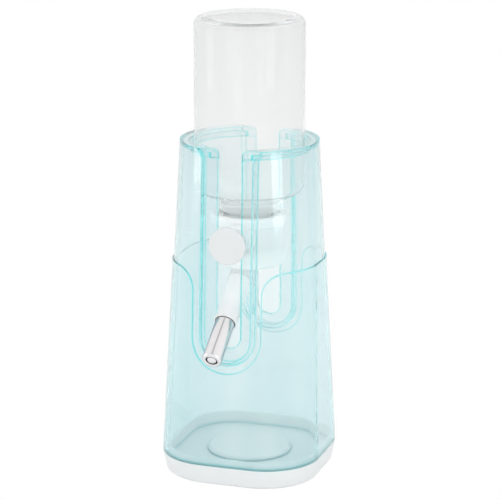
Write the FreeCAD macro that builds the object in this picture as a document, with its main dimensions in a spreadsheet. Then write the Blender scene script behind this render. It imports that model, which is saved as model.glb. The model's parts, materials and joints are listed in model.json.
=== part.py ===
import FreeCAD, Part
import math
import os
import Sketcher

# A free-standing water bottle for rabbits.  A clear bottle stands upside down in a
# tall tapering stand with a U-shaped slot in its front and back.  The screw cap under
# the bottle carries a sloping drinking spout, which looks out of the front slot, and a
# round knob, which clamps the cap in the track beside the slot.
# Millimetres, +Z up, front towards -Y, origin on the floor under the bottle's axis.

SIZES = [
    # stand: the tapering housing
    ("housing_bottom", 12.7, "height of the joint between base and housing"),
    ("housing_top", 205.7, "height of the rim"),
    ("bottom_half_width", 48.7, "half the width across the flats at the joint"),
    ("bottom_corner", 33.5, "radius of the plan's corners at the joint"),
    ("top_half_width", 42.0, "half the width at the rim, where the plan is round"),
    ("top_corner", 41.7, "radius of the plan's corners at the rim"),
    ("wall", 2.2, "thickness of the housing"),
    ("rim_thickness", 2.6, "thickness of the inward flange at the rim"),
    ("rim_opening", 34.6, "radius of the hole that the bottle goes through"),
    ("lip_depth", 6.0, "depth of the lip round that hole"),
    ("lip_thickness", 2.0, "thickness of the lip"),
    # stand: the slot, the track round it and the raised skirt
    ("slot_centre", 92.8, "height of the centre of the slot's round foot"),
    ("slot_half", 7.4, "half the width of the slot"),
    ("slot_corner", 4.0, "rounding of the slot's edges at the rim"),
    ("track_half", 15.0, "half the width of the sunk track round the slot"),
    ("track_corner", 8.0, "rounding of the track's edges at the rim"),
    ("track_depth", 5.5, "how far the track lies below the front face"),
    ("skirt_step", 0.9, "how far the skirt stands out"),
    ("skirt_level", 132.8, "height of the skirt's top edge at the sides"),
    ("skirt_half", 21.6, "half the width of the gap in the skirt round the slot"),
    ("skirt_corner", 12.5, "rounding of the skirt's upper corners"),
    # stand: the base tray and the pad under it
    ("tray_foot", 0.4, "height of the tray's lowest edge"),
    ("tray_foot_half", 47.4, "half the tray's width at the floor"),
    ("tray_foot_corner", 34.0, "radius of the tray's corners at the floor"),
    ("tray_top_half", 49.5, "half the tray's width at the joint"),
    ("tray_top_corner", 34.3, "radius of the tray's corners at the joint"),
    ("tray_edge", 2.0, "rounding of the tray's lowest edge"),
    ("deck_top", 9.3, "height of the floor inside the stand"),
    ("deck_thickness", 2.2, "thickness of that floor"),
    ("spigot_half", 46.2, "half the width of the rim that the housing fits over"),
    ("spigot_top", 16.7, "height of that rim"),
    ("spigot_thickness", 2.0, "thickness of that rim"),
    ("boss_radius", 25.7, "radius of the round boss on the floor"),
    ("boss_top", 12.2, "height of the boss"),
    ("boss_edge", 2.4, "rounding of the boss's edge"),
    ("rib_thickness", 1.6, "thickness of the ribs under the floor"),
    ("pad_half", 44.4, "half the width of the non-slip pad"),
    ("pad_corner", 31.0, "radius of the pad's corners"),
    ("pad_thickness", 2.0, "thickness of the pad"),
    ("pad_gap", 0.3, "gap round the pad"),
    # bottle
    ("bottle_radius", 33.3, "outer radius of the bottle's body"),
    ("bottle_top", 280.0, "height of the ring on the bottle's upturned base"),
    ("bottle_wall", 1.2, "thickness of the bottle"),
    ("bottle_edge", 5.0, "rounding between the bottle's body and base"),
    ("base_ring", 28.4, "radius of the ring on the base"),
    ("base_sink", 1.7, "how far the panel inside the ring is sunk"),
    ("shoulder_top", 175.5, "height where the body's straight wall begins"),
    ("shoulder_foot", 167.3, "height where the shoulder meets the neck"),
    ("neck_radius", 19.2, "outer radius of the plain part of the neck"),
    ("neck_step", 161.2, "height where the neck narrows for its thread"),
    ("thread_root", 17.3, "radius of the neck between the threads"),
    ("mouth_radius", 15.3, "inner radius of the mouth"),
    ("mouth_height", 143.1, "height of the mouth's rim"),
    # screw thread between the bottle and the cap
    ("thread_pitch", 4.2, "rise of the thread in one turn"),
    ("thread_turns", 1.5, "turns of thread"),
    ("thread_start", 146.0, "height where the bottle's thread begins"),
    ("neck_crest", 18.9, "radius of the bottle's thread"),
    ("cap_crest", 17.9, "radius of the cap's thread"),
    ("ridge_foot", 1.9, "width of a thread ridge where it leaves the wall"),
    ("ridge_crest", 0.9, "width of a thread ridge at its top"),
    # cap
    ("cap_top", 160.5, "height of the cap's open end"),
    ("cap_bottom", 129.0, "height of the cap's closed end"),
    ("cap_radius", 21.5, "outer radius of the cap's body"),
    ("collar_radius", 23.5, "outer radius of the collar round its open end"),
    ("collar_height", 6.0, "height of the collar"),
    ("cap_bore", 19.6, "inner radius of the cap"),
    ("cap_ledge", 141.0, "height of the ledge that carries the gasket"),
    ("chamber_radius", 15.6, "inner radius below the ledge"),
    ("cap_floor", 2.2, "thickness of the cap's closed end"),
    ("gasket_thickness", 1.9, "thickness of the gasket"),
    ("gasket_gap", 0.1, "gap on either side of the gasket"),
    # knob that clamps the cap in the track
    ("knob_height", 148.8, "height of the knob's axis"),
    ("knob_radius", 11.4, "radius of the knob's disc"),
    ("knob_face", 43.4, "distance of the knob's face from the bottle's axis"),
    ("knob_back", 40.55, "distance of the back of the disc"),
    ("knob_end", 24.0, "distance of the inner end of the knob's stud"),
    ("stud_radius", 4.5, "radius of the stud"),
    ("stud_clearance", 0.1, "clearance round the stud"),
    ("lug_radius", 9.0, "radius of the lug that takes the stud"),
    ("lug_face", 33.0, "distance of the lug's face"),
    ("lug_depth", 10.5, "depth of the hole in the lug"),
    ("washer_radius", 10.4, "radius of the washer behind the disc"),
    ("washer_face", 40.5, "distance of the washer's front"),
    ("washer_thickness", 1.0, "thickness of the washer"),
    # spout: every length below is measured along its axis from the bottle's axis
    ("spout_origin", 134.0, "height where the spout's axis meets the bottle's axis"),
    ("spout_angle", 56.0, "angle between the spout and the vertical, in degrees"),
    ("socket_radius", 7.6, "outer radius of the socket under the cap"),
    ("socket_bore", 5.25, "inner radius of the socket"),
    ("socket_end", 22.0, "end of the socket"),
    ("sleeve_start", 10.0, "start of the sleeve, inside the socket"),
    ("sleeve_end", 55.6, "end of the sleeve"),
    ("sleeve_root", 7.2, "outer radius of the sleeve at the socket"),
    ("sleeve_tip", 6.7, "outer radius of the sleeve at its end"),
    ("sleeve_bevel", 0.45, "width of the bevel inside the sleeve's end"),
    ("sleeve_bore", 4.2, "inner radius of the sleeve"),
    ("sleeve_step", 44.5, "where the sleeve widens for the tube"),
    ("tube_radius", 5.8, "outer radius of the metal tube"),
    ("tube_wall", 0.8, "thickness of the tube"),
    ("tube_end", 85.3, "end of the tube"),
    ("tube_mouth", 3.5, "radius of the hole in the tube's tip"),
    ("tip_lip", 1.6, "thickness of the rolled lip at the tip"),
    ("seal_thickness", 1.4, "thickness of the seal behind the tube"),
    ("part_gap", 0.1, "gap left between pieces laid end to end"),
    ("ball_radius", 4.0, "radius of the two steel balls"),
    ("outer_ball_place", 82.0, "place of the ball at the tip"),
    ("inner_ball_place", 66.8, "place of the ball behind it"),
    ("seat_start", 70.0, "start of the seat under the inner ball"),
    ("seat_thickness", 2.0, "thickness of the seat"),
    ("seat_hole", 2.6, "radius of the hole in the seat"),
]

FAR = 90.0  # reaches past the whole object
BORE_START = -2.0  # where the spout's bore begins, inside the cap's chamber
SOCKET_START = 2.0  # where the socket's cylinder begins, inside the cap's floor

doc = FreeCAD.newDocument("rabbit_water_bottle")


def make_sheet():
    sheet = doc.addObject("Spreadsheet::Sheet", "Sizes")
    for row, (alias, value, meaning) in enumerate(SIZES, start=1):
        sheet.set("A%d" % row, meaning)
        sheet.set("B%d" % row, str(value))
        sheet.setAlias("B%d" % row, alias)
    doc.recompute()
    return sheet


SHEET = make_sheet()


def size(alias):
    """A driving dimension as a plain number."""
    return float(SHEET.get(alias))


def bound(text):
    """An expression in which every alias points to the sheet."""
    words = []
    for word in text.replace("(", " ( ").replace(")", " ) ").split():
        words.append("Sizes." + word if word[0].isalpha() else word)
    return " ".join(words)


def value_of(text):
    """The value of an expression written with the sheet's aliases."""
    quantity = SHEET.evalExpression(bound(text))
    return float(getattr(quantity, "Value", quantity))


def bind(thing, prop, text):
    thing.setExpression(prop, bound(text))


# ---------------------------------------------------------------- outlines


def rounded_corner(before, corner, after, radius):
    """Start, middle and end of the arc that rounds a corner."""
    to_before = (before - corner).normalize()
    to_after = (after - corner).normalize()
    half_angle = to_before.getAngle(to_after) / 2.0
    setback = radius / math.tan(half_angle)
    start = corner + to_before * setback
    end = corner + to_after * setback
    bisector = (to_before + to_after).normalize()
    centre = corner + bisector * (radius / math.sin(half_angle))
    middle = centre - bisector * radius
    return start, middle, end


def draw_outline(sketch, corners):
    """Closed outline of straight lines, rounded where a corner names a radius.

    Each corner is (across, up) or (across, up, radius), as expressions."""
    points = [FreeCAD.Vector(value_of(c[0]), value_of(c[1]), 0) for c in corners]
    count = len(corners)
    starts = []
    ends = []
    arcs = []
    for i, corner in enumerate(corners):
        start, end, arc = points[i], points[i], None
        if len(corner) == 3:
            neighbours = points[i - 1], points[(i + 1) % count]
            start, middle, end = rounded_corner(
                neighbours[0], points[i], neighbours[1], value_of(corner[2])
            )
            arc = Part.Arc(start, middle, end)
        starts.append(start)
        ends.append(end)
        arcs.append(arc)
    lines = []
    for i in range(count):
        segment = Part.LineSegment(ends[i], starts[(i + 1) % count])
        lines.append(sketch.addGeometry(segment, False))
    for i, corner in enumerate(corners):
        tie_corner(sketch, corner, points[i], arcs[i], lines[i - 1], lines[i])


def tie_corner(sketch, corner, point, arc, line_in, line_out):
    """Constrain one corner of an outline to the sheet."""
    if arc is None:
        sketch.addConstraint(Sketcher.Constraint("Coincident", line_in, 2, line_out, 1))
        place_point(sketch, line_out, 1, corner, point)
        return
    arc_id = sketch.addGeometry(arc, False)
    arc_start = sketch.getPoint(arc_id, 1)
    first_end = 1 if (arc_start - sketch.getPoint(line_in, 2)).Length < 1e-6 else 2
    last_end = 3 - first_end
    sketch.addConstraint(Sketcher.Constraint("Tangent", line_in, 2, arc_id, first_end))
    sketch.addConstraint(Sketcher.Constraint("Tangent", arc_id, last_end, line_out, 1))
    value = sketch.Geometry[arc_id].Radius
    radius = sketch.addConstraint(Sketcher.Constraint("Radius", arc_id, value))
    bind(sketch, "Constraints[%d]" % radius, corner[2])
    point_id = sketch.addGeometry(Part.Point(point), True)
    sketch.addConstraint(Sketcher.Constraint("PointOnObject", point_id, 1, line_in))
    sketch.addConstraint(Sketcher.Constraint("PointOnObject", point_id, 1, line_out))
    place_point(sketch, point_id, 1, corner, point)


def place_point(sketch, geometry, end, corner, point):
    """Hold one point at the two distances that its corner names."""
    for kind, text, distance, axis in (
        ("DistanceX", corner[0], point.x, -2),
        ("DistanceY", corner[1], point.y, -1),
    ):
        if text == "0":
            sketch.addConstraint(Sketcher.Constraint("PointOnObject", geometry, end, axis))
            continue
        row = sketch.addConstraint(Sketcher.Constraint(kind, -1, 1, geometry, end, distance))
        bind(sketch, "Constraints[%d]" % row, text)


UPRIGHT = FreeCAD.Rotation(FreeCAD.Vector(1, 0, 0), 90)


def loose_sketch(name, corners, rotation=FreeCAD.Rotation(), origin=FreeCAD.Vector()):
    sketch = doc.addObject("Sketcher::SketchObject", name)
    sketch.Placement = FreeCAD.Placement(origin, rotation)
    draw_outline(sketch, corners)
    return sketch


def square_corners(half, radius):
    """Corners of a rounded square of a given half width."""
    low = "0 - ( %s )" % half
    return [(low, low, radius), (half, low, radius), (half, half, radius), (low, half, radius)]


def square_sketch(name, half, radius, height):
    sketch = loose_sketch(name, square_corners(half, radius))
    bind(sketch, "Placement.Base.z", height)
    return sketch


def notch_corners(half, top, corner_radius, centre, roof):
    """A slot with a round foot, open at the top, where its edges are rounded off."""
    left = "0 - ( %s )" % half
    foot = "%s - ( %s )" % (centre, half)
    foot_radius = "( %s ) - 0.1" % half
    return [
        ("-%s" % FAR, roof),
        ("-%s" % FAR, top),
        (left, top, corner_radius),
        (left, foot, foot_radius),
        (half, foot, foot_radius),
        (half, top, corner_radius),
        ("%s" % FAR, top),
        ("%s" % FAR, roof),
    ]


# ---------------------------------------------------------------- solids


def extrude(name, sketch, forward, backward="0"):
    """Solid that reaches forward and backward along the sketch's normal."""
    solid = doc.addObject("Part::Extrusion", name)
    solid.Base = sketch
    solid.DirMode = "Normal"
    solid.Solid = True
    bind(solid, "LengthFwd", forward)
    bind(solid, "LengthRev", backward)
    return solid


def square_prism(name, half, radius, bottom, height):
    return extrude(name, square_sketch(name + "_plan", half, radius, bottom), height)


def loft(name, sections):
    solid = doc.addObject("Part::Loft", name)
    solid.Sections = sections
    solid.Solid = True
    solid.Ruled = True
    return solid


def cylinder(name, radius, height, bottom="0"):
    solid = doc.addObject("Part::Cylinder", name)
    bind(solid, "Radius", radius)
    bind(solid, "Height", height)
    bind(solid, "Placement.Base.z", bottom)
    return solid


def aimed_cylinder(name, radius, start, end, frame):
    """Cylinder along the Z axis of a frame, from one distance to another."""
    solid = doc.addObject("Part::Cylinder", name)
    bind(solid, "Radius", radius)
    bind(solid, "Height", "( %s ) - ( %s )" % (end, start))
    shift = FreeCAD.Placement(FreeCAD.Vector(0, 0, value_of(start)), FreeCAD.Rotation())
    solid.Placement = frame * shift
    return solid


def fuse(name, shapes, refine=True):
    """One solid of several.  A threaded piece keeps its seams, so it isn't refined."""
    solid = doc.addObject("Part::MultiFuse", name)
    solid.Shapes = shapes
    solid.Refine = refine
    return solid


def common(name, shapes):
    solid = doc.addObject("Part::MultiCommon", name)
    solid.Shapes = shapes
    return solid


def cut(name, base, tools):
    for i, tool in enumerate(tools, start=1):
        solid = doc.addObject("Part::Cut", name if i == len(tools) else "%s_cut%d" % (name, i))
        solid.Base = base
        solid.Tool = tool
        base = solid
    return base


def turned_body(name, corners, placement=FreeCAD.Placement()):
    """A piece turned about its own Z axis, from half of its section."""
    body = doc.addObject("PartDesign::Body", name)
    sketch = body.newObject("Sketcher::SketchObject", name + "_section")
    plane = [f for f in body.Origin.OriginFeatures if f.Role == "XZ_Plane"][0]
    sketch.AttachmentSupport = (plane, "")
    sketch.MapMode = "FlatFace"
    draw_outline(sketch, corners)
    turned = body.newObject("PartDesign::Revolution", name + "_turned")
    turned.Profile = sketch
    turned.ReferenceAxis = (sketch, ["V_Axis"])
    turned.Angle = 360.0
    body.Tip = turned
    body.Placement = placement
    return body


def helical_ridge(name, wall, crest, start):
    """One thread ridge, rooted just inside the wall that it stands on."""
    helix = doc.addObject("Part::Helix", name + "_path")
    bind(helix, "Pitch", "thread_pitch")
    bind(helix, "Height", "thread_pitch * thread_turns")
    bind(helix, "Radius", wall)
    bind(helix, "Placement.Base.z", start)
    half_foot = "ridge_foot / 2"
    half_crest = "ridge_crest / 2"
    section = [
        (wall, "%s - %s" % (start, half_foot)),
        (crest, "%s - %s" % (start, half_crest)),
        (crest, "%s + %s" % (start, half_crest)),
        (wall, "%s + %s" % (start, half_foot)),
    ]
    ridge = doc.addObject("Part::Sweep", name)
    ridge.Sections = [loose_sketch(name + "_section", section, UPRIGHT)]
    ridge.Spine = (helix, ["Edge1"])
    ridge.Solid = True
    ridge.Frenet = True
    return ridge


# ---------------------------------------------------------------- the stand


def tapered(name, grow):
    """The housing's tapering outer form, grown or shrunk all round."""
    foot = square_sketch(
        name + "_foot",
        "bottom_half_width + %s" % grow,
        "bottom_corner + %s" % grow,
        "housing_bottom",
    )
    head = square_sketch(
        name + "_head",
        "top_half_width + %s" % grow,
        "top_corner + %s" % grow,
        "housing_top",
    )
    return loft(name, [foot, head])


def track_prism(name, half, sink, side):
    """Slot-shaped prism that reaches outwards from a plane sunk below the leaning face."""
    rise = size("housing_top") - size("housing_bottom")
    lean = math.degrees(math.atan((size("bottom_half_width") - size("top_half_width")) / rise))
    below_top = (size("housing_top") - size("slot_centre")) / rise
    widening = (size("bottom_half_width") - size("top_half_width")) * below_top
    face = size("top_half_width") + widening
    corners = notch_corners(
        half, "housing_top - slot_centre", "track_corner", "0", "housing_top - slot_centre + 20"
    )
    turn = FreeCAD.Rotation(FreeCAD.Vector(1, 0, 0), 90 - lean)
    if side == "back":
        turn = FreeCAD.Rotation(FreeCAD.Vector(0, 0, 1), 180) * turn
    outwards = turn.multVec(FreeCAD.Vector(0, 0, 1))
    level = FreeCAD.Vector(0, 0, size("slot_centre"))
    across = FreeCAD.Vector(outwards.x, outwards.y, 0).normalize()
    origin = level + across * face - outwards * value_of(sink)
    sketch = loose_sketch(name + "_outline", corners, turn, origin)
    return extrude(name, sketch, "track_depth + 20")


def through_notch(name, half, top, corner_radius):
    """Slot-shaped prism right through the object from front to back."""
    corners = notch_corners(half, top, corner_radius, "slot_centre", "housing_top + 20")
    sketch = loose_sketch(name + "_outline", corners, UPRIGHT)
    return extrude(name, sketch, str(FAR), str(FAR))


def make_housing():
    skirt = cut(
        "skirt",
        tapered("skirt_blank", "skirt_step"),
        [through_notch("skirt_gap", "skirt_half", "skirt_level", "skirt_corner")],
    )
    outside = fuse("housing_outside", [tapered("housing_form", "0"), skirt])
    shell = cut("housing_walls", outside, [tapered("housing_cavity", "( 0 - wall )")])
    flange = cut(
        "rim_flange",
        cylinder(
            "flange_disc", "top_half_width - wall / 2", "rim_thickness", "housing_top - rim_thickness"
        ),
        [cylinder("flange_hole", "rim_opening", "rim_thickness", "housing_top - rim_thickness")],
    )
    lip = cut(
        "rim_lip",
        cylinder("lip_disc", "rim_opening + lip_thickness", "lip_depth", "housing_top - lip_depth"),
        [cylinder("lip_hole", "rim_opening", "lip_depth", "housing_top - lip_depth")],
    )
    backings = []
    recesses = []
    for side in ("front", "back"):
        block = track_prism("backing_" + side, "track_half + wall", "track_depth + wall", side)
        form = tapered("backing_form_" + side, "0")
        backings.append(common("track_wall_" + side, [block, form]))
        recesses.append(track_prism("recess_" + side, "track_half", "track_depth", side))
    solid = fuse("housing_solid", [shell, flange, lip] + backings)
    slot = through_notch("slot", "slot_half", "housing_top", "slot_corner")
    return cut("housing_shell", solid, recesses + [slot])


def make_base_tray():
    foot = square_sketch("tray_foot_plan", "tray_foot_half", "tray_foot_corner", "tray_foot")
    head = square_sketch("tray_head_plan", "tray_top_half", "tray_top_corner", "housing_bottom")
    block = loft("tray_block", [foot, head])
    doc.recompute()
    rounded = doc.addObject("Part::Fillet", "tray_rounded")
    rounded.Base = block
    radius = size("tray_edge")
    low = size("tray_foot") + 1e-3
    edges = []
    for number, edge in enumerate(block.Shape.Edges, start=1):
        if edge.BoundBox.ZMax < low:
            edges.append((number, radius, radius))
    rounded.Edges = edges
    spigot_corner = "bottom_corner - ( bottom_half_width - spigot_half )"
    spigot = square_prism(
        "tray_spigot", "spigot_half", spigot_corner, "deck_top", "spigot_top - deck_top"
    )
    well = square_prism(
        "tray_well",
        "spigot_half - spigot_thickness",
        spigot_corner + " - spigot_thickness",
        "deck_top",
        "spigot_top",
    )
    rim = cut("tray_rim", fuse("tray_with_spigot", [rounded, spigot]), [well])
    hollow = square_prism(
        "tray_hollow",
        "pad_half + pad_gap",
        "pad_corner + pad_gap",
        "0",
        "deck_top - deck_thickness",
    )
    boss = turned_body(
        "tray_boss",
        [
            ("0", "deck_top - 1"),
            ("boss_radius", "deck_top - 1"),
            ("boss_radius", "boss_top", "boss_edge"),
            ("0", "boss_top"),
        ],
    )
    boss_hollow = cylinder(
        "boss_hollow", "boss_radius - deck_thickness", "boss_top - deck_thickness", "0"
    )
    hollowed = cut("tray_hollowed", fuse("tray_with_boss", [rim, boss]), [hollow, boss_hollow])
    ribs = []
    for name, turn in (("rib_across", 0), ("rib_along", 90)):
        rib = doc.addObject("Part::Box", name)
        bind(rib, "Length", "( pad_half + 1 ) * 2")
        bind(rib, "Width", "rib_thickness")
        bind(rib, "Height", "deck_top - pad_thickness - pad_gap - 0.5")
        corner = FreeCAD.Vector(
            -size("pad_half") - 1, -size("rib_thickness") / 2, value_of("pad_thickness + pad_gap")
        )
        place = FreeCAD.Placement(FreeCAD.Vector(), FreeCAD.Rotation(FreeCAD.Vector(0, 0, 1), turn))
        rib.Placement = place * FreeCAD.Placement(corner, FreeCAD.Rotation())
        ribs.append(rib)
    return fuse("base_tray", [hollowed] + ribs)


def make_base_pad():
    body = doc.addObject("PartDesign::Body", "base_pad")
    sketch = body.newObject("Sketcher::SketchObject", "pad_plan")
    plane = [f for f in body.Origin.OriginFeatures if f.Role == "XY_Plane"][0]
    sketch.AttachmentSupport = (plane, "")
    sketch.MapMode = "FlatFace"
    draw_outline(sketch, square_corners("pad_half", "pad_corner"))
    sheet_of_silicone = body.newObject("PartDesign::Pad", "pad_sheet")
    sheet_of_silicone.Profile = sketch
    bind(sheet_of_silicone, "Length", "pad_thickness")
    body.Tip = sheet_of_silicone
    return body


# ---------------------------------------------------------------- bottle and cap


def make_bottle():
    inner_radius = "bottle_radius - bottle_wall"
    inner_neck = "neck_radius - bottle_wall"
    panel = "bottle_top - base_sink"
    inner_top = "bottle_top - base_sink - bottle_wall"
    body = turned_body(
        "bottle_body",
        [
            ("mouth_radius", "mouth_height"),
            ("thread_root", "mouth_height"),
            ("thread_root", "neck_step - 1"),
            ("neck_radius", "neck_step", "0.6"),
            ("neck_radius", "shoulder_foot", "2.5"),
            ("bottle_radius", "shoulder_top", "7"),
            ("bottle_radius", "bottle_top", "bottle_edge"),
            ("base_ring - 0.8", "bottle_top", "0.5"),
            ("base_ring - 1.8", panel, "0.6"),
            ("0", panel),
            ("0", inner_top),
            (inner_radius, inner_top, "bottle_edge - bottle_wall"),
            (inner_radius, "shoulder_top + 0.7", "6"),
            (inner_neck, "shoulder_foot + 0.9", "3"),
            (inner_neck, "neck_step + 1.4", "0.6"),
            ("mouth_radius", "neck_step - 1.4", "0.6"),
        ],
    )
    ridge = helical_ridge("neck_thread", "thread_root - 0.4", "neck_crest", "thread_start")
    return fuse("bottle", [body, ridge], refine=False)


def spout_frame():
    """Frame on the bottle's axis whose Z axis runs out along the spout."""
    turn = FreeCAD.Rotation(FreeCAD.Vector(1, 0, 0), 180.0 - size("spout_angle"))
    return FreeCAD.Placement(FreeCAD.Vector(0, 0, size("spout_origin")), turn)


def knob_frame():
    """Frame on the bottle's axis whose Z axis runs out through the knob."""
    return FreeCAD.Placement(FreeCAD.Vector(0, 0, size("knob_height")), UPRIGHT)


def make_cap():
    outside = turned_body(
        "cap_outside",
        [
            ("0", "cap_bottom"),
            ("cap_radius", "cap_bottom", "2"),
            ("cap_radius", "cap_top - collar_height"),
            ("collar_radius", "cap_top - collar_height", "0.8"),
            ("collar_radius", "cap_top", "1.2"),
            ("0", "cap_top"),
        ],
    )
    socket = aimed_cylinder(
        "cap_socket", "socket_radius", str(SOCKET_START), "socket_end", spout_frame()
    )
    lug = aimed_cylinder("cap_lug", "lug_radius", "cap_bore", "lug_face", knob_frame())
    block = fuse("cap_block", [outside, socket, lug])
    bore = cylinder("cap_inside", "cap_bore", "cap_top", "cap_ledge")
    chamber = cylinder("cap_chamber", "chamber_radius", "cap_top", "cap_bottom + cap_floor")
    port = aimed_cylinder("cap_port", "socket_bore", str(BORE_START), str(FAR), spout_frame())
    stud_hole = aimed_cylinder(
        "cap_stud_hole",
        "stud_radius + stud_clearance",
        "lug_face - lug_depth",
        str(FAR),
        knob_frame(),
    )
    hollow = cut("cap_hollow", block, [bore, chamber, port, stud_hole])
    start = "thread_start + thread_pitch / 2"
    ridge = helical_ridge("cap_thread", "cap_bore + 0.4", "cap_crest", start)
    return fuse("cap", [hollow, ridge], refine=False)


def make_cap_gasket():
    foot = "cap_ledge + gasket_gap"
    head = "cap_ledge + gasket_gap + gasket_thickness"
    inner = "mouth_radius - 0.2"
    outer = "cap_bore - 0.3"
    return turned_body(
        "cap_gasket",
        [(inner, foot), (outer, foot, "0.3"), (outer, head, "0.3"), (inner, head)],
    )


def make_height_knob():
    return turned_body(
        "height_knob",
        [
            ("0", "knob_end"),
            ("stud_radius", "knob_end", "0.8"),
            ("stud_radius", "knob_back"),
            ("knob_radius", "knob_back", "0.6"),
            ("knob_radius", "knob_face", "1"),
            ("0", "knob_face"),
        ],
        knob_frame(),
    )


def make_knob_washer():
    back = "washer_face - washer_thickness"
    hole = "stud_radius + 0.3"
    return turned_body(
        "knob_washer",
        [
            (hole, back),
            ("washer_radius", back, "0.3"),
            ("washer_radius", "washer_face"),
            (hole, "washer_face"),
        ],
        knob_frame(),
    )


# ---------------------------------------------------------------- the spout


def make_spout_sleeve():
    spigot = "socket_bore - part_gap / 2"
    shoulder = "socket_end + part_gap"
    tube_bore = "tube_radius + part_gap / 5"
    return turned_body(
        "spout_sleeve",
        [
            ("sleeve_bore", "sleeve_start"),
            (spigot, "sleeve_start"),
            (spigot, shoulder),
            ("sleeve_root", shoulder, "0.3"),
            ("sleeve_tip", "sleeve_end", "0.3"),
            (tube_bore + " + sleeve_bevel", "sleeve_end"),
            (tube_bore, "sleeve_end - sleeve_bevel * 2"),
            (tube_bore, "sleeve_step"),
            ("sleeve_bore", "sleeve_step"),
        ],
        spout_frame(),
    )


def make_tube_seal():
    foot = "sleeve_step + part_gap"
    head = "sleeve_step + part_gap + seal_thickness"
    return turned_body(
        "tube_seal",
        [
            ("sleeve_bore + 0.1", foot),
            ("tube_radius - 0.1", foot),
            ("tube_radius - 0.1", head),
            ("sleeve_bore + 0.1", head),
        ],
        spout_frame(),
    )


def make_spout_tube():
    start = "sleeve_step + seal_thickness + part_gap * 2"
    inner = "tube_radius - tube_wall"
    return turned_body(
        "spout_tube",
        [
            (inner, start),
            ("tube_radius", start),
            ("tube_radius", "tube_end", "1.2"),
            ("tube_mouth", "tube_end", "0.7"),
            ("tube_mouth", "tube_end - tip_lip", "0.5"),
            (inner, "tube_end - tip_lip"),
        ],
        spout_frame(),
    )


def make_ball_seat():
    outer = "tube_radius - tube_wall - 0.02"
    end = "seat_start + seat_thickness"
    return turned_body(
        "ball_seat",
        [("seat_hole", "seat_start"), (outer, "seat_start"), (outer, end), ("seat_hole", end)],
        spout_frame(),
    )


def make_ball(name, place):
    ball = doc.addObject("Part::Sphere", name)
    bind(ball, "Radius", "ball_radius")
    ball.Placement = FreeCAD.Placement(
        spout_frame().multVec(FreeCAD.Vector(0, 0, size(place))), FreeCAD.Rotation()
    )
    return ball


# ---------------------------------------------------------------- build and write


def report_faults():
    """Stop if any object of the document failed to compute."""
    faults = []
    for thing in doc.Objects:
        state = set(thing.State)
        if state & {"Invalid", "Error"}:
            faults.append("%s %s" % (thing.Name, sorted(state)))
    if faults:
        raise RuntimeError("failed objects: " + "; ".join(faults))


def main():
    pieces = [
        make_housing(),
        make_base_tray(),
        make_base_pad(),
        make_bottle(),
        make_cap(),
        make_cap_gasket(),
        make_height_knob(),
        make_knob_washer(),
        make_spout_sleeve(),
        make_tube_seal(),
        make_spout_tube(),
        make_ball_seat(),
        make_ball("spout_ball", "outer_ball_place"),
        make_ball("inner_ball", "inner_ball_place"),
    ]
    doc.recompute()
    report_faults()
    os.makedirs("parts", exist_ok=True)
    for piece in pieces:
        shape = piece.Shape
        if shape.isNull() or not shape.isValid() or len(shape.Solids) != 1:
            raise RuntimeError("bad shape: " + piece.Label)
        print("%-14s %9.1f mm3" % (piece.Label, shape.Volume))
        shape.exportStep(os.path.join("parts", piece.Label + ".step"))


main()
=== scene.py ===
import json
import math

import bmesh
import bpy
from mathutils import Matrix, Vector


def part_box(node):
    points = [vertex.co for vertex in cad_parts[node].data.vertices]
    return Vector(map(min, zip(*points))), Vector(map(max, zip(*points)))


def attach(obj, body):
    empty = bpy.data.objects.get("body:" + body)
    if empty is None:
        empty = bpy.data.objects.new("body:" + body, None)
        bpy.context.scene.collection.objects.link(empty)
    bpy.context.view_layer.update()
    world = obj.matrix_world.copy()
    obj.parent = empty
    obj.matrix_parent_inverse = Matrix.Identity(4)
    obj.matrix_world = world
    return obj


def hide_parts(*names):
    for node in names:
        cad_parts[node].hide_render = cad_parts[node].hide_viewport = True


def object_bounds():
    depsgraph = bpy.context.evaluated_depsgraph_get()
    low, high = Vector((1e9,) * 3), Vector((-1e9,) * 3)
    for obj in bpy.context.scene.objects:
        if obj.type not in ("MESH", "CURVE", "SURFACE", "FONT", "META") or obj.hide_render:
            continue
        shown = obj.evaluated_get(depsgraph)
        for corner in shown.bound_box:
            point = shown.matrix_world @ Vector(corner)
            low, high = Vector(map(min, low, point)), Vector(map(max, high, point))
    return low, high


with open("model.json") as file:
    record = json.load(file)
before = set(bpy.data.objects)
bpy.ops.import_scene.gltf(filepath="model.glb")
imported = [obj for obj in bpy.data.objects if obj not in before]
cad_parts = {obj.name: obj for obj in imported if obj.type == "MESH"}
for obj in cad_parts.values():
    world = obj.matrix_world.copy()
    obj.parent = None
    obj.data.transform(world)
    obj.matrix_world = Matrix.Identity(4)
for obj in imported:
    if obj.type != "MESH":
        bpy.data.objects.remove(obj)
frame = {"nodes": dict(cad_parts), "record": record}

# Looks of the rabbit water bottle: finishes, the stand's smooth shading, studio and camera.
# Every length is in metres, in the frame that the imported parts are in.

CAD_LOW, CAD_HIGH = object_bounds()
MM = 0.001
WHITE = (1.0, 1.0, 1.0)

# The camera stands to the right of the front and looks slightly down.
CAMERA_AZIMUTH = 18.5
CAMERA_ELEVATION = 14.5
CAMERA_DISTANCE = 1.326
CAMERA_LENS = 156.8
CAMERA_SENSOR = 36.0
CAMERA_SHIFT = 0.0005
CAMERA_NEAR = 0.05
CAMERA_FAR = 50.0
TARGET_SHARE = 0.4864  # share of the object's height that the camera looks at

# Each soft box: azimuth, elevation, distance, width, height, power in watts, and whether
# it is seen in reflections.
LAMPS = {
    "key": (-72, 10, 1.3, 0.45, 1.5, 3.6, True),
    "fill": (62, 10, 1.3, 0.45, 1.5, 4.6, True),
    "front": (-5, 8, 1.0, 0.30, 0.5, 1.2, False),
    "back": (165, 55, 1.3, 0.60, 0.6, 3.2, True),
}

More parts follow.
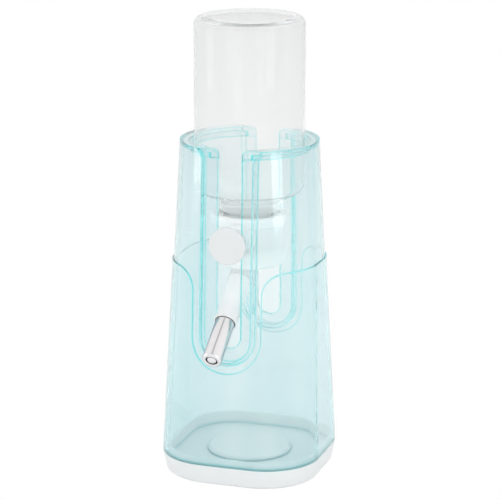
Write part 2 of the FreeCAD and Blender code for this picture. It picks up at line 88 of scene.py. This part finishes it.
# The studio's brightness for reflections and refractions.
STUDIO_WAVES = 3.0  # light stretches round the horizon
STUDIO_DARK = 0.77
STUDIO_LIGHT = 0.97
GAP_LEVEL = 0.25  # share of that brightness in a gap overhead, which darkens the tube's middle
GAP_EDGES = (0.02, 0.14)  # sideways part of the direction where the gap starts and stops fading
GAP_HEIGHTS = (0.75, 0.90)  # upward part of the direction over which the gap comes in

FLOOR_HALF = 6.0
FLOOR_GREY = (0.80, 0.80, 0.80)
FLOOR_GLOW = 0.10

# Skins of the clear plastics: the duller and the lighter colour of their faint clouds.
AQUA_SKIN = ((0.89, 0.925, 0.94), (0.96, 0.965, 0.97))
CLEAR_SKIN = ((0.955, 0.96, 0.96), (0.975, 0.975, 0.975))
RIPPLE_DEPTH = 0.006 * MM
PASSED_LIGHT = (0.95, 0.95, 0.95)  # share of soft light that goes straight through a wall
EDGE_RADIUS = 1.1 * MM  # rounding of the stand's sharp edges
EDGE_REFRACTION_REACH = 1.9 * MM  # width of the painted teal refraction lines along them
EDGE_MATCH = (0.75, 0.985)  # how well a rounded normal fits the face, at an edge and off it
EDGE_SAMPLES = 10
CREASE_SAMPLES = 8

# White plastics, as lighter and darker copies of one white: the two colours of their faint
# clouds, and the painted shade in their creases.
KNOB_DIMMED_SHADES = ((0.68, 0.705, 0.715), (0.72, 0.74, 0.745))
KNOB_CREASE_SHADE = (0.35, 0.42, 0.44)
BRIGHTENED_SHADES = ((0.965, 0.95, 0.955), (0.985, 0.97, 0.975))
BRIGHT_CREASE_SHADE = (0.90, 0.93, 0.94)
TRAY_DIMMED_SHADES = ((0.75, 0.77, 0.775), (0.79, 0.805, 0.81))
# Painted teal shade round the tray's hollows, and a deep teal painted shade at the boss's foot.
TRAY_CREASE_SHADE = (0.46, 0.68, 0.70)
BOSS_FOOT_SHADE = (0.08, 0.38, 0.43)
BOSS_SHADE_REACH = (31 * MM, 35 * MM)  # distances from the axis where the boss's painted shade fades out

CUT_SPACING = 10 * MM
WELD = 1e-6
SHARP_ANGLE = math.radians(24)


# ---------------------------------------------------------------- node helpers


class Nodes:
    """A node tree with short calls for the nodes used below."""

    def __init__(self, tree):
        self.tree = tree
        self.tree.nodes.clear()

    def add(self, kind):
        return self.tree.nodes.new(kind)

    def put(self, socket, value):
        """Link a node's output to a socket, or set the socket to a plain value."""
        if isinstance(value, bpy.types.NodeSocket):
            self.tree.links.new(value, socket)
        elif socket.type == "RGBA":
            socket.default_value = (*value, 1.0)
        else:
            socket.default_value = value

    def maths(self, operation, *values):
        node = self.add("ShaderNodeMath")
        node.operation = operation
        for socket, value in zip(node.inputs, values):
            self.put(socket, value)
        return node.outputs["Value"]

    def spread(self, value, low, high, start=0.3, end=0.7):
        """Remap a value that runs from start to end onto low to high."""
        node = self.add("ShaderNodeMapRange")
        self.put(node.inputs["From Min"], start)
        self.put(node.inputs["From Max"], end)
        self.put(node.inputs["To Min"], low)
        self.put(node.inputs["To Max"], high)
        self.put(node.inputs["Value"], value)
        return node.outputs["Result"]

    def mix(self, share, first, second, kind="RGBA"):
        """A colour, or a number with kind FLOAT, between two others."""
        node = self.add("ShaderNodeMix")
        node.data_type = kind
        self.put(node.inputs["Factor"], share)
        self.put(node.inputs["A"], first)
        self.put(node.inputs["B"], second)
        return node.outputs["Result"]

    def mix_shaders(self, share, first, second):
        node = self.add("ShaderNodeMixShader")
        for socket, value in zip(node.inputs, (share, first, second)):
            self.put(socket, value)
        return node.outputs["Shader"]

    def light_path(self, question):
        return self.add("ShaderNodeLightPath").outputs[question]


class Shader(Nodes):
    """A material with one Principled surface."""

    def __init__(self, name):
        self.material = bpy.data.materials.new(name)
        self.material.use_nodes = True
        super().__init__(self.material.node_tree)
        self.output = self.add("ShaderNodeOutputMaterial")
        self.surface = self.add("ShaderNodeBsdfPrincipled")
        self.show(self.surface.outputs["BSDF"])
        self.place = self.add("ShaderNodeTexCoord").outputs["Object"]

    def show(self, surface):
        self.put(self.output.inputs["Surface"], surface)

    def set(self, **values):
        for name, value in values.items():
            self.feed(name.replace("_", " "), value)

    def feed(self, name, value):
        self.put(self.surface.inputs[name], value)

    def stretched(self, scale):
        """Object coordinates stretched by a factor along each axis."""
        node = self.add("ShaderNodeMapping")
        self.put(node.inputs["Scale"], scale)
        self.put(node.inputs["Vector"], self.place)
        return node.outputs["Vector"]

    def noise(self, size, detail=2.0, roughness=0.5, place=None):
        """Noise whose lumps are about size metres across."""
        node = self.add("ShaderNodeTexNoise")
        self.put(node.inputs["Scale"], 1.0 / size)
        self.put(node.inputs["Detail"], detail)
        self.put(node.inputs["Roughness"], roughness)
        self.put(node.inputs["Vector"], place or self.place)
        return node.outputs["Fac"]

    def bump(self, height, depth, before=None):
        """Relief of the given depth, on top of the normals before it."""
        node = self.add("ShaderNodeBump")
        self.put(node.inputs["Distance"], depth)
        self.put(node.inputs["Height"], height)
        if before is not None:
            self.put(node.inputs["Normal"], before)
        return node.outputs["Normal"]

    def painted_crease_shade(self, colour, crease_shade, reach, start, end, alone=False):
        """Painted shade: a colour that turns to a darker shade colour where the surface is
        hemmed in within reach.

        Other pieces count too, unless alone is set. Start and end are how open the surface
        is where the painted shade is full and where it is gone.
        """
        shade = self.add("ShaderNodeAmbientOcclusion")
        shade.samples = CREASE_SAMPLES
        shade.only_local = alone
        self.put(shade.inputs["Distance"], reach)
        open_share = self.spread(shade.outputs["AO"], 0.0, 1.0, start, end)
        return self.mix(open_share, crease_shade, colour)

    def rounded(self, radius):
        """Normals of a surface whose sharp edges are rounded to the radius."""
        node = self.add("ShaderNodeBevel")
        node.samples = EDGE_SAMPLES
        self.put(node.inputs["Radius"], radius)
        return node.outputs["Normal"]

    def painted_edge_refraction(self, colour, refraction_colour, reach):
        """Painted refraction: a colour that changes along sharp edges, within about reach of
        them.
        """
        match = self.add("ShaderNodeVectorMath")
        match.operation = "DOT_PRODUCT"
        self.put(match.inputs[0], self.rounded(reach))
        self.put(match.inputs[1], self.add("ShaderNodeNewGeometry").outputs["Normal"])
        share = self.spread(match.outputs["Value"], 1.0, 0.0, *EDGE_MATCH)
        return self.mix(share, colour, refraction_colour)

    def from_axis(self):
        """Distance from the bottle's axis."""
        node = self.add("ShaderNodeVectorMath")
        node.operation = "LENGTH"
        self.put(node.inputs[0], self.stretched((1.0, 1.0, 0.0)))
        return node.outputs["Value"]

    def colour_by_thickness(self, tint, density):
        body = self.add("ShaderNodeVolumeAbsorption")
        self.put(body.inputs["Color"], tint)
        self.put(body.inputs["Density"], density)
        self.put(self.output.inputs["Volume"], body.outputs["Volume"])

    def let_light_through(self):
        """Lamps and soft light shine straight through, so that what is inside is lit."""
        lighting = self.maths(
            "MAXIMUM", self.light_path("Is Shadow Ray"), self.light_path("Is Diffuse Ray")
        )
        open_way = self.add("ShaderNodeBsdfTransparent")
        self.put(open_way.inputs["Color"], PASSED_LIGHT)
        solid = self.surface.outputs["BSDF"]
        self.show(self.mix_shaders(lighting, solid, open_way.outputs["BSDF"]))


# ---------------------------------------------------------------- materials


def clear_moulding(name, ior, clarity, coat, tint, density, skin, roughness, edge_refraction_colour=None):
    """Clear plastic whose colour comes from its thickness.

    With an edge tint its sharp edges are rounded, and take that colour as painted refraction:
    teal lines standing in for the light that the thick edges bend and tint.
    """
    shader = Shader(name)
    shader.set(Transmission_Weight=clarity, IOR=ior)
    shader.set(Coat_Weight=coat, Coat_IOR=1.46, Coat_Roughness=0.04)
    cloud = shader.noise(22 * MM, place=shader.stretched((1.0, 1.0, 0.12)))
    colour = shader.mix(shader.spread(cloud, 0.0, 1.0, 0.38, 0.62), *skin)
    softened = None
    if edge_refraction_colour is not None:
        # Painted refraction: teal lines along the sharp edges.
        colour = shader.painted_edge_refraction(colour, edge_refraction_colour, EDGE_REFRACTION_REACH)
        softened = shader.rounded(EDGE_RADIUS)
    ripple = shader.noise(14 * MM, place=shader.stretched((1.0, 1.0, 0.35)))
    shader.feed("Base Color", colour)
    shader.feed("Roughness", shader.spread(shader.noise(4 * MM), *roughness))
    shader.feed("Normal", shader.bump(ripple, RIPPLE_DEPTH, softened))
    shader.colour_by_thickness(tint, density)
    shader.let_light_through()
    return shader.material


def aqua_plastic():
    return clear_moulding(
        "aqua_plastic",
        ior=1.22,
        clarity=0.95,
        coat=1.0,
        tint=(0.10, 0.85, 0.89),
        density=40.0,
        skin=AQUA_SKIN,
        roughness=(0.05, 0.09),
        # Painted refraction: teal lines along the stand's sharp edges.
        edge_refraction_colour=(0.05, 0.90, 0.90),
    )


def clear_plastic():
    return clear_moulding(
        "clear_plastic",
        ior=1.065,
        clarity=0.90,
        coat=0.25,
        tint=(0.70, 0.80, 0.84),
        density=5.0,
        skin=CLEAR_SKIN,
        roughness=(0.03, 0.06),
    )


def satin_surface(name, softness, soft_depth, grain):
    """The surface of every white piece, still without a colour."""
    shader = Shader(name)
    shader.set(IOR=1.47, Subsurface_Weight=softness, Subsurface_Scale=soft_depth)
    shader.set(Subsurface_Radius=(1.0, 0.9, 0.85))
    shader.feed("Roughness", shader.spread(shader.noise(1.5 * MM, detail=4.0), 0.28, 0.40))
    shader.feed("Normal", shader.bump(shader.noise(0.35 * MM, detail=3.0), grain))
    return shader


def satin_white(name, softness, soft_depth, shades, crease_shade):
    shader = satin_surface(name, softness, soft_depth, grain=0.006 * MM)
    white = shader.mix(shader.noise(12 * MM, detail=3.0), *shades)
    # Painted shade in the hollows, within 4 mm.
    shader.feed("Base Color", shader.painted_crease_shade(white, crease_shade, 4 * MM, 0.1, 0.75))
    return shader.material


def white_plastic():
    """The knob's white, painted darker than the sleeve's to offset the front lamp's light on
    it.
    """
    return satin_white("white_plastic", 0.1, 3 * MM, KNOB_DIMMED_SHADES, KNOB_CREASE_SHADE)


def bright_plastic():
    """The sleeve's white, painted lighter than the knob's to offset the shade it sits in."""
    return satin_white("bright_plastic", 0.6, 3 * MM, BRIGHTENED_SHADES, BRIGHT_CREASE_SHADE)


def frosted_plastic():
    """The cap's white, which light goes deeper into, painted lighter than the knob's to offset
    the shade of the stand round it.
    """
    return satin_white("frosted_plastic", 1.0, 5 * MM, BRIGHTENED_SHADES, BRIGHT_CREASE_SHADE)


def tray_plastic():
    """White plastic of the base, painted darker than the sleeve's white against the front
    lamp's light, with painted teal shade in its hollows and a deep teal painted shade at the
    foot of its round boss.
    """
    shader = satin_surface("tray_plastic", 0.2, 3 * MM, grain=0.003 * MM)
    white = shader.mix(shader.noise(12 * MM, detail=3.0), *TRAY_DIMMED_SHADES)
    # Painted shade: teal in the tray's hollows, deep teal at the foot of the boss.
    outer = shader.painted_crease_shade(white, TRAY_CREASE_SHADE, 3 * MM, 0.45, 0.85, alone=True)
    boss = shader.painted_crease_shade(white, BOSS_FOOT_SHADE, 5 * MM, 0.40, 0.86, alone=True)
    outside = shader.spread(shader.from_axis(), 0.0, 1.0, *BOSS_SHADE_REACH)
    shader.feed("Base Color", shader.mix(outside, boss, outer))
    return shader.material


def stainless():
    """Polished steel with fine marks drawn across it, and painted dark shade in its narrow
    gaps.
    """
    shader = Shader("stainless")
    shader.set(Metallic=1.0, Anisotropic=0.3, Specular_Tint=(0.45, 0.42, 0.48))
    across = shader.stretched((0.15, 1.0, 1.0))
    grain = shader.noise(2.0 * MM, detail=6.0, roughness=0.7, place=across)
    steel = shader.mix(shader.noise(6 * MM), (0.86, 0.84, 0.85), (0.92, 0.905, 0.915))
    # Painted shade, nearly black, in narrow gaps such as the one round the ball at the tip.
    gap_shade = (0.05, 0.05, 0.055)
    shader.feed("Base Color", shader.painted_crease_shade(steel, gap_shade, 1.2 * MM, 0.35, 0.9))
    shader.feed("Roughness", shader.spread(grain, 0.17, 0.24))
    shader.feed("Normal", shader.bump(grain, 0.004 * MM))
    return shader.material


def silicone():
    shader = Shader("silicone")
    shader.set(IOR=1.41, Subsurface_Weight=0.2, Subsurface_Scale=1.0 * MM)
    cloud = shader.noise(5 * MM, detail=3.0)
    shader.feed("Base Color", shader.mix(cloud, (0.66, 0.68, 0.68), (0.74, 0.75, 0.75)))
    shader.feed("Roughness", shader.spread(shader.noise(0.8 * MM, detail=3.0), 0.5, 0.65))
    shader.feed("Normal", shader.bump(shader.noise(0.4 * MM), 0.01 * MM))
    return shader.material


SLOT_FINISHES = {
    "aqua_plastic": aqua_plastic,
    "clear_plastic": clear_plastic,
    "white_plastic": white_plastic,
    "stainless": stainless,
    "silicone": silicone,
}

NODE_FINISHES = {
    "cap": frosted_plastic,
    "spout_sleeve": bright_plastic,
    "base_tray": tray_plastic,
}


def dress_cad_nodes():
    """Give every CAD node its own finish, or else the one that its material slot names."""
    by_slot = {name: make() for name, make in SLOT_FINISHES.items()}
    by_node = {name: make() for name, make in NODE_FINISHES.items()}
    for part in frame["record"]["subparts"]:
        node = frame["nodes"][part["node"]]
        finish = by_node.get(part["node"], by_slot[part["material_slot"]])
        if not node.material_slots:
            node.data.materials.append(finish)
        for place in node.material_slots:
            place.material = finish
    return by_slot


# ---------------------------------------------------------------- the stand's smooth shading


def level_cut(node_name, piece_name, spacing):
    """A copy of a CAD node cut at many levels, so that its shading follows its bent corners."""
    piece = bpy.data.objects.new(piece_name, frame["nodes"][node_name].data.copy())
    bpy.context.scene.collection.objects.link(piece)
    work = bmesh.new()
    work.from_mesh(piece.data)
    bmesh.ops.remove_doubles(work, verts=work.verts, dist=WELD)
    low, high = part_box(node_name)
    levels = int((high.z - low.z) / spacing)
    for step in range(1, levels):
        height = low.z + (high.z - low.z) * step / levels
        everything = work.verts[:] + work.edges[:] + work.faces[:]
        bmesh.ops.bisect_plane(
            work, geom=everything, plane_co=(0.0, 0.0, height), plane_no=(0.0, 0.0, 1.0)
        )
    work.to_mesh(piece.data)
    work.free()
    normals = piece.data.attributes.get("custom_normal")
    if normals is not None:
        piece.data.attributes.remove(normals)
    piece.data.shade_smooth()
    piece.data.set_sharp_from_angle(angle=SHARP_ANGLE)
    return piece


def make_housing(finishes):
    housing = level_cut("housing_shell", "housing_moulding", CUT_SPACING)
    housing.data.materials.clear()
    housing.data.materials.append(finishes["aqua_plastic"])
    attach(housing, "stand")
    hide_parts("housing_shell")


# ---------------------------------------------------------------- studio


def make_floor():
    """Pale floor, which the camera itself sees as plain white."""
    mesh = bpy.data.meshes.new("floor")
    low = CAD_LOW.z
    corners = [
        (-FLOOR_HALF, -FLOOR_HALF, low),
        (FLOOR_HALF, -FLOOR_HALF, low),
        (FLOOR_HALF, FLOOR_HALF, low),
        (-FLOOR_HALF, FLOOR_HALF, low),
    ]
    mesh.from_pydata(corners, [], [(0, 1, 2, 3)])
    floor = bpy.data.objects.new("floor", mesh)
    bpy.context.scene.collection.objects.link(floor)
    shader = Shader("pale_floor")
    shader.set(Base_Color=FLOOR_GREY, Roughness=0.9, Specular_IOR_Level=0.0)
    shader.set(Emission_Color=WHITE, Emission_Strength=FLOOR_GLOW)
    plain = shader.add("ShaderNodeEmission").outputs["Emission"]
    seen = shader.light_path("Is Camera Ray")
    shader.show(shader.mix_shaders(seen, shader.surface.outputs["BSDF"], plain))
    mesh.materials.append(shader.material)


def make_world():
    """White studio with soft grey stretches between its lights and a dark gap overhead."""
    world = bpy.data.worlds.new("studio")
    bpy.context.scene.world = world
    world.use_nodes = True
    nodes = Nodes(world.node_tree)
    way = nodes.add("ShaderNodeSeparateXYZ")
    nodes.put(way.inputs["Vector"], nodes.add("ShaderNodeTexCoord").outputs["Generated"])
    angle = nodes.maths("ARCTAN2", way.outputs["Y"], way.outputs["X"])
    wave = nodes.maths("SINE", nodes.maths("MULTIPLY", angle, STUDIO_WAVES))
    level = nodes.spread(wave, STUDIO_DARK, STUDIO_LIGHT, -1.0, 1.0)
    aside = nodes.maths("ABSOLUTE", way.outputs["X"])
    gap = nodes.spread(aside, GAP_LEVEL, 1.0, *GAP_EDGES)
    overhead = nodes.spread(way.outputs["Z"], 0.0, 1.0, *GAP_HEIGHTS)
    shaded = nodes.maths("MULTIPLY", level, nodes.mix(overhead, 1.0, gap, "FLOAT"))
    strength = nodes.mix(nodes.light_path("Is Camera Ray"), shaded, 1.0, "FLOAT")
    background = nodes.add("ShaderNodeBackground")
    nodes.put(background.inputs["Color"], WHITE)
    nodes.put(background.inputs["Strength"], strength)
    output = nodes.add("ShaderNodeOutputWorld")
    nodes.put(output.inputs["Surface"], background.outputs["Background"])


def place_facing(thing, azimuth, elevation, distance):
    """Stand a thing at an angle round the object, looking at it."""
    across = math.radians(azimuth)
    up = math.radians(elevation)
    back = Vector(
        (math.sin(across) * math.cos(up), -math.cos(across) * math.cos(up), math.sin(up))
    )
    height = CAD_LOW.z + (CAD_HIGH.z - CAD_LOW.z) * TARGET_SHARE
    thing.location = Vector((0.0, 0.0, height)) + back * distance
    thing.rotation_mode = "QUATERNION"
    thing.rotation_quaternion = (-back).to_track_quat("-Z", "Y")


def make_lamp(name, azimuth, elevation, distance, width, height, power, reflected):
    """Soft box aimed at the middle of the object."""
    light = bpy.data.lights.new(name, "AREA")
    light.shape = "RECTANGLE"
    light.size = width
    light.size_y = height
    light.energy = power
    lamp = bpy.data.objects.new(name, light)
    lamp.visible_camera = False
    lamp.visible_glossy = reflected
    bpy.context.scene.collection.objects.link(lamp)
    place_facing(lamp, azimuth, elevation, distance)


def make_camera():
    lens = bpy.data.cameras.new("camera")
    lens.lens = CAMERA_LENS
    lens.sensor_width = CAMERA_SENSOR
    lens.shift_x = CAMERA_SHIFT
    lens.clip_start = CAMERA_NEAR
    lens.clip_end = CAMERA_FAR
    camera = bpy.data.objects.new("camera", lens)
    bpy.context.scene.collection.objects.link(camera)
    place_facing(camera, CAMERA_AZIMUTH, CAMERA_ELEVATION, CAMERA_DISTANCE)
    bpy.context.scene.camera = camera


def make_studio():
    make_floor()
    make_world()
    for name, setting in LAMPS.items():
        make_lamp(name, *setting)
    scene = bpy.context.scene
    scene.view_settings.view_transform = "Standard"
    scene.cycles.max_bounces = 32
    scene.cycles.transmission_bounces = 32
    scene.cycles.transparent_max_bounces = 48
    scene.cycles.glossy_bounces = 8
    scene.cycles.diffuse_bounces = 4


make_camera()
finishes = dress_cad_nodes()
make_housing(finishes)
make_studio()
